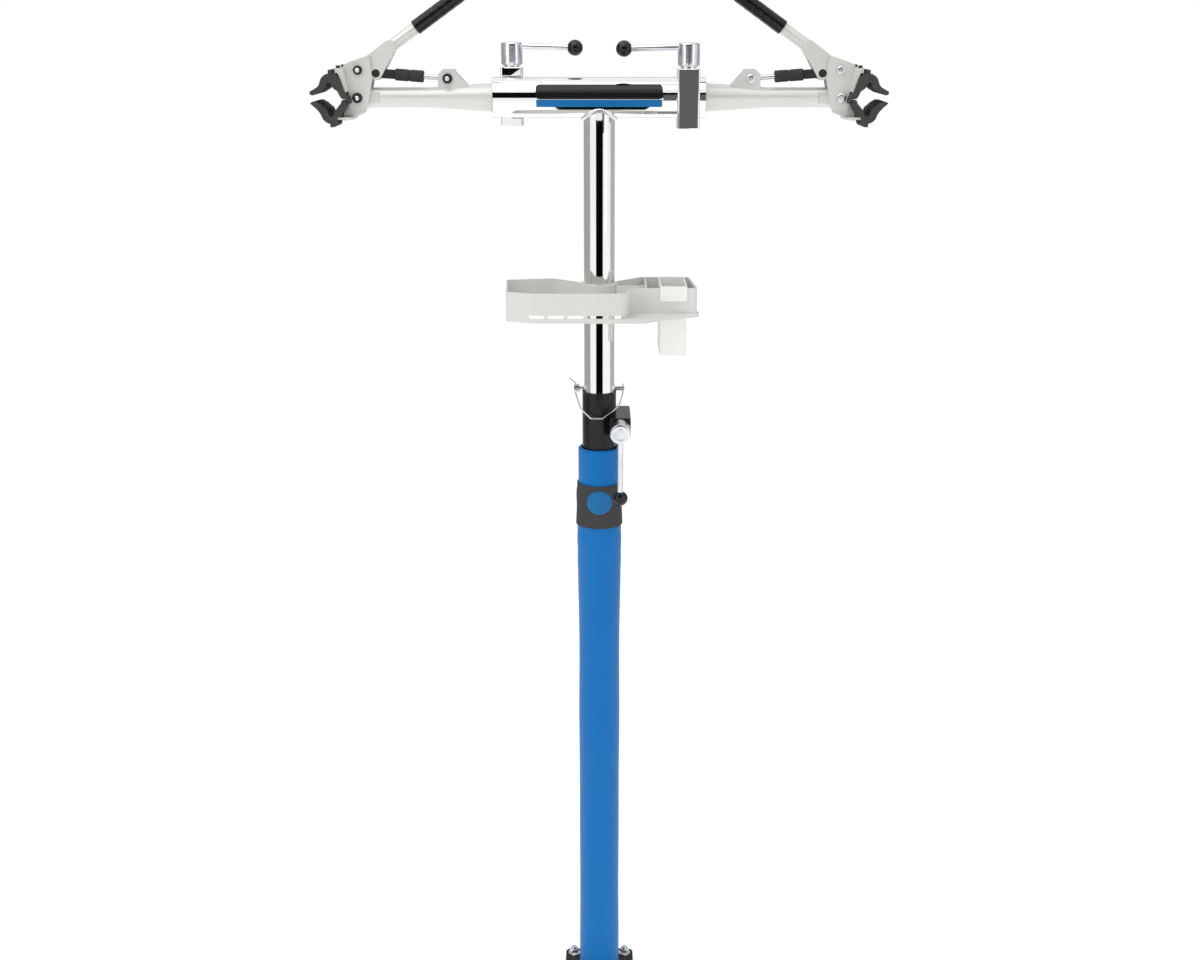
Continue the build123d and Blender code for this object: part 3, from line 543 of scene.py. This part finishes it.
# ---------------------------------------------------------------- label on the cross tube
def build_panel(name, half, low, high, corner, finish):
    """A thin printed panel wrapped on the tube's front, from one height to another about its axis.
    Its ends are rounded by the corner's length: half-length at height z shrinks by c - sqrt(c^2 - d^2)."""
    levels = np.linspace(low, high, 25)
    depth = np.clip(corner - np.minimum(levels - low, high - levels), 0, corner) if corner else 0 * levels
    inset = corner - np.sqrt(np.maximum(corner ** 2 - depth ** 2, 0)) if corner else depth
    columns = np.linspace(-1, 1, 41)
    across = (half - inset)[:, None] * columns[None, :]
    sheets = []
    for radius in (BAR_RADIUS + 0.0003, BAR_RADIUS - 0.0002):
        depth_y = -np.sqrt(radius ** 2 - levels ** 2)
        sheets.append(np.stack([across, np.repeat(depth_y[:, None], 41, 1),
                                np.repeat(levels[:, None] + BAR_HEIGHT, 41, 1)], -1))
    points = np.concatenate([sheets[0], sheets[1][:, ::-1]], 1)
    finished(surface(name, points), finish, "mast", "chrome_tube")


# Half-length, lower and upper edge about the tube's axis, and corner of each panel.
LABEL_PANEL = (0.101, -0.0015, 0.0215, 0.006)
LABEL_STRIP = (0.100, -0.0135, -0.0020, 0.0)
build_panel("label_panel", *LABEL_PANEL, PANEL_BLACK)
build_panel("label_strip", *LABEL_STRIP, PANEL_BLUE)


# ---------------------------------------------------------------- weld bead under the cross tube
def build_mast_weld():
    """A bead along the line where the upright cylinder meets the level one: z = axis - sqrt(R^2 - y^2)."""
    count = 240
    angle = np.linspace(0, TURN, count, endpoint=False)
    across, depth = MAST_RADIUS * np.cos(angle), MAST_RADIUS * np.sin(angle)
    level = BAR_HEIGHT - np.sqrt(BAR_RADIUS ** 2 - depth ** 2)
    path = np.stack([across, depth, level], -1)
    turn = np.linspace(0, TURN, 16, endpoint=False)

    def section(row):
        size = 0.0036 + 0.0004 * abs(math.sin(row * math.pi / 5))
        return np.stack([size * np.cos(turn), size * np.sin(turn)], -1)

    finished(swept("mast_weld", path, section, True, 60.0), FINISH["chrome_tube"], "mast", "chrome_tube")


build_mast_weld()


# ---------------------------------------------------------------- lock nuts, grips, adjusters, screws
def build_lock_nut(name, direction):
    """A round nut, smooth-sided: rounded outer rim, a small step at its foot, a domed hub on its face."""
    low, high = (np.array(v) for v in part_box(name + "_lock_nut"))
    centre = (low + high) / 2
    direction = np.array(direction, float)
    half = abs((high - low) @ direction) / 2
    size = (high - low)[0] / 2
    base = centre - direction * half
    length = 2 * half
    profile = [(0.0, 0.006), (0.0, size - 0.0022), (0.0014, size - 0.0020)]
    profile += arc((0.0030, size - 0.0014), 0.0014, 180, 90, 5)
    profile += list(zip(np.linspace(0.006, length - 0.005, 10), [size] * 10))
    profile += arc((length - 0.0034, size - 0.0034), 0.0034, 90, 0, 9)
    profile += [(length, size - 0.006), (length - 0.0006, 0.0090), (length, 0.0082), (length, 0.001)]
    piece = turned(name + "_nut_turned", profile, base, direction, 144)
    finished(piece, FINISH["zinc"], BODY_OF[name + "_lock_nut"], "zinc", (name + "_lock_nut",))


LEVER_RISE = 35.1
GRIP_HALF = 0.074
ADJUSTER_START = 0.0293
ADJUSTER_LENGTH = 0.046
THREAD_START = 0.0755


def clamp_direction(side):
    """Unit vector along the lever, from its pivot towards its grip."""
    sign = 1 if side == "left" else -1
    angle = math.radians(LEVER_RISE)
    return np.array([sign * math.cos(angle), 0, math.sin(angle)])


def build_grip(side):
    """Dipped grip: a tube with a rolled mouth, six shallow finger rings and a rounded closed end."""
    node = side + "_grip"
    along = clamp_direction(side)
    centre = middle(node)
    start = centre - along * GRIP_HALF
    size, bore = 0.01175, 0.0098
    lip = (size - bore) / 2
    profile = [(0.010, bore - 0.0001), (0.0012, bore)] + arc((0.0012, bore + lip), lip, 250, 90, 7)
    profile += [(s, size) for s in np.linspace(0.004, 0.1430, 80)]
    profile += arc((0.1448, size - 0.0030), 0.0030, 90, 0, 8)
    profile += [(0.1478, 0.0004)]

    def rings(s, angle):
        wave = np.sin((s - 0.02) * TURN / 0.016)
        inside = np.clip((s - 0.02) / 0.01, 0, 1) * np.clip((0.126 - s) / 0.01, 0, 1)
        return -0.00035 * inside * np.maximum(wave, 0)

    piece = turned(node + "_dipped", profile, start, along, 72, rings)
    finished(piece, FINISH["grip_vinyl"], BODY_OF[node], "grip_vinyl", (node,))


def link_frame(side):
    """The link pivot, the unit vector from it to the anchor bolt, and the length between them."""
    jaw = np.array([middle(side + "_link_pivot")[0], 0, middle(side + "_link_pivot")[2]])
    anchor = np.array([middle(side + "_anchor_bolt")[0], 0, middle(side + "_anchor_bolt")[2]])
    along = anchor - jaw
    return jaw, along / np.linalg.norm(along), np.linalg.norm(along)


def build_adjuster(side):
    """A knurled coupling: diamond knurl as the product of two helical waves, with plain necked ends."""
    node = side + "_adjuster"
    jaw, along, _ = link_frame(side)
    length, size, bore = ADJUSTER_LENGTH, 0.0095, 0.0041
    profile = [(0.0, bore), (0.0, size - 0.0015), (0.0015, size)]
    profile += [(s, size) for s in np.linspace(0.003, length - 0.003, 120)]
    profile += [(length - 0.0015, size), (length, size - 0.0015), (length, bore)]

    def knurl(s, angle):
        inside = np.clip((s - 0.005) / 0.001, 0, 1) * np.clip((length - 0.005 - s) / 0.001, 0, 1)
        neck = np.exp(-((s - length / 2) / 0.0018) ** 2)
        wave = np.abs(np.sin(12 * angle + s * 900)) * np.abs(np.sin(12 * angle - s * 900))
        cut = -0.0007 * inside * (1 - wave) - 0.0009 * neck
        return np.where((s > 0.002) & (s < length - 0.002), cut, 0)

    start = jaw + along * ADJUSTER_START
    piece = turned(node + "_knurled", profile, start, along, 144, knurl, closed=True, sharp=50.0)
    finished(piece, FINISH["black_oxide"], BODY_OF[node], "black_oxide", (node,))


def build_link_screw(side):
    """Threaded rod with a round eye: r = mean + depth*triangle(s/pitch - t/turn)."""
    jaw, along, length = link_frame(side)
    size, pitch, depth = 0.0038, 0.00125, 0.00035
    start, end = THREAD_START, length - 0.006
    profile = [(s, size) for s in np.arange(start, end, pitch / 6)]

    def thread(s, angle):
        phase = (s / pitch - angle / TURN) % 1.0
        return depth * (1 - 4 * np.abs(phase - 0.5))

    piece = turned(side + "_link_thread", profile, jaw, along, 28, thread, sharp=80.0)
    finished(piece, FINISH["zinc"], BODY_OF[side + "_link_screw"], "zinc")


for side in SIDES:
    build_lock_nut(side, (0, 0, 1))
    build_grip(side)
    build_adjuster(side)
    build_link_screw(side)
build_lock_nut("post", (0, -1, 0))

def build_bolt_end(node):
    """Domed end of a bolt, standing in the middle of its nut, whose dark face is painted shade of the gap
    round the end: a sphere's cap on a short cylinder.
    """
    low, high = (np.array(v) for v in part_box(node))
    place = ((low[0] + high[0]) / 2, low[1], (low[2] + high[2]) / 2)
    size = 0.0039
    profile = [(-0.0004, 0.0005), (-0.0004, size), (0.0004, size)] + arc((-0.0004, 0.0), 0.0042, 68, 3, 10)
    piece = turned(node + "_end", profile, place, (0, -1, 0), 40)
    finished(piece, FINISH["zinc"], BODY_OF[node], "zinc")


# Zinc domes go in the middle of the nuts that are darkened as painted shade.
for node in SHADOW_GAP_NUTS:
    build_bolt_end(node)

# ---------------------------------------------------------------- studio
CAMERA_PLACE = (0.00125, -2.636, 1.736)
CAMERA_DOWN = 16.25
CAMERA_LENS = 48.0
WORLD_DIMMING = 0.35


def emitter(name, place, size, strength, towards):
    lamp = bpy.data.lights.new(name, "AREA")
    lamp.shape = "RECTANGLE"
    lamp.size, lamp.size_y = size
    lamp.energy = strength
    obj = bpy.data.objects.new(name, lamp)
    bpy.context.scene.collection.objects.link(obj)
    obj.location = place
    aim = np.array(towards) - np.array(place)
    obj.rotation_euler = (math.acos(-aim[2] / np.linalg.norm(aim)), 0, math.atan2(aim[0], -aim[1]) + math.pi)
    return obj


def studio_plane(name, corners, finish):
    mesh = bpy.data.meshes.new(name)
    mesh.from_pydata(corners, [], [(0, 1, 2, 3)])
    mesh.materials.append(finish.material)
    obj = bpy.data.objects.new(name, mesh)
    bpy.context.scene.collection.objects.link(obj)
    return obj


# The floor glows a little, so that it meets the white backdrop without a horizon.
floor_finish = Finish("studio_floor", grey(0.85), roughness=0.7, specular_ior_level=0.1,
                      emission_color=(1.0, 1.0, 1.0, 1.0), emission_strength=0.48)
floor_finish.feed("Roughness", 0.65 + floor_finish.noise(3.0) * 0.1)
studio_plane("studio_floor", [(-9, -9, 0), (9, -9, 0), (9, 9, 0), (-9, 9, 0)], floor_finish)

# Boards that only mirror-like finishes see: dark ones in front, grey ones at the sides and behind.
# Each is (tone, two corners on its foot as (x, y), height of foot, height of top).
BOARDS = {
    "board_mast": (0.003, (-0.078, -0.19), (0.088, -0.19), 1.08, 1.562),
    "board_lock": (0.16, (0.112, -0.30), (0.20, -0.30), 1.53, 1.70),
    "board_high": (0.004, (-0.95, -1.3), (0.95, -1.3), 1.60, 2.35),
    "board_left": (0.42, (-2.0, -0.75), (-2.0, 3.0), 0.2, 3.2),
    "board_right": (0.50, (2.2, 0.0), (2.2, 3.0), 0.2, 3.2),
    "board_back": (0.62, (-2.0, 3.0), (2.2, 3.0), 0.2, 3.2),
}
for card, (tone, (x0, y0), (x1, y1), low, high) in BOARDS.items():
    board_finish = Finish(card, grey(tone), roughness=0.9, specular_ior_level=0.0)
    corners = [(x0, y0, low), (x1, y1, low), (x1, y1, high), (x0, y0, high)]
    board = studio_plane(card, corners, board_finish)
    board.visible_camera = False
    board.visible_diffuse = False
    board.visible_shadow = False
    board.visible_transmission = False

camera = bpy.data.objects.new("camera", bpy.data.cameras.new("camera"))
bpy.context.scene.collection.objects.link(camera)
camera.location = CAMERA_PLACE
camera.rotation_euler = (math.radians(90 - CAMERA_DOWN), 0, 0)
camera.data.lens = CAMERA_LENS
camera.data.sensor_width = 36.0
camera.data.clip_end = 100.0
bpy.context.scene.camera = camera

emitter("top_softbox", (-0.6, -0.6, 3.6), (2.6, 2.2), 24, (0, 0, 1.2))
emitter("front_left", (-2.4, -2.6, 2.4), (1.0, 2.2), 12, (0, 0, 1.1))
emitter("front_right", (2.6, -2.2, 2.0), (0.8, 2.2), 5, (0, 0, 1.1))

world = bpy.data.worlds.new("studio")
bpy.context.scene.world = world
world.use_nodes = True
world.node_tree.nodes["Background"].inputs[0].default_value = (1.0, 1.0, 1.0, 1.0)
# Full strength to the camera and to mirrors, WORLD_DIMMING less as light on matt surfaces.
ray = world.node_tree.nodes.new("ShaderNodeLightPath")
strength = world.node_tree.nodes.new("ShaderNodeMath")
strength.operation = "MULTIPLY_ADD"
strength.inputs[1].default_value = -WORLD_DIMMING
strength.inputs[2].default_value = 1.0
world.node_tree.links.new(ray.outputs["Is Diffuse Ray"], strength.inputs[0])
world.node_tree.links.new(strength.outputs[0], world.node_tree.nodes["Background"].inputs[1])
bpy.context.scene.view_settings.view_transform = "Standard"
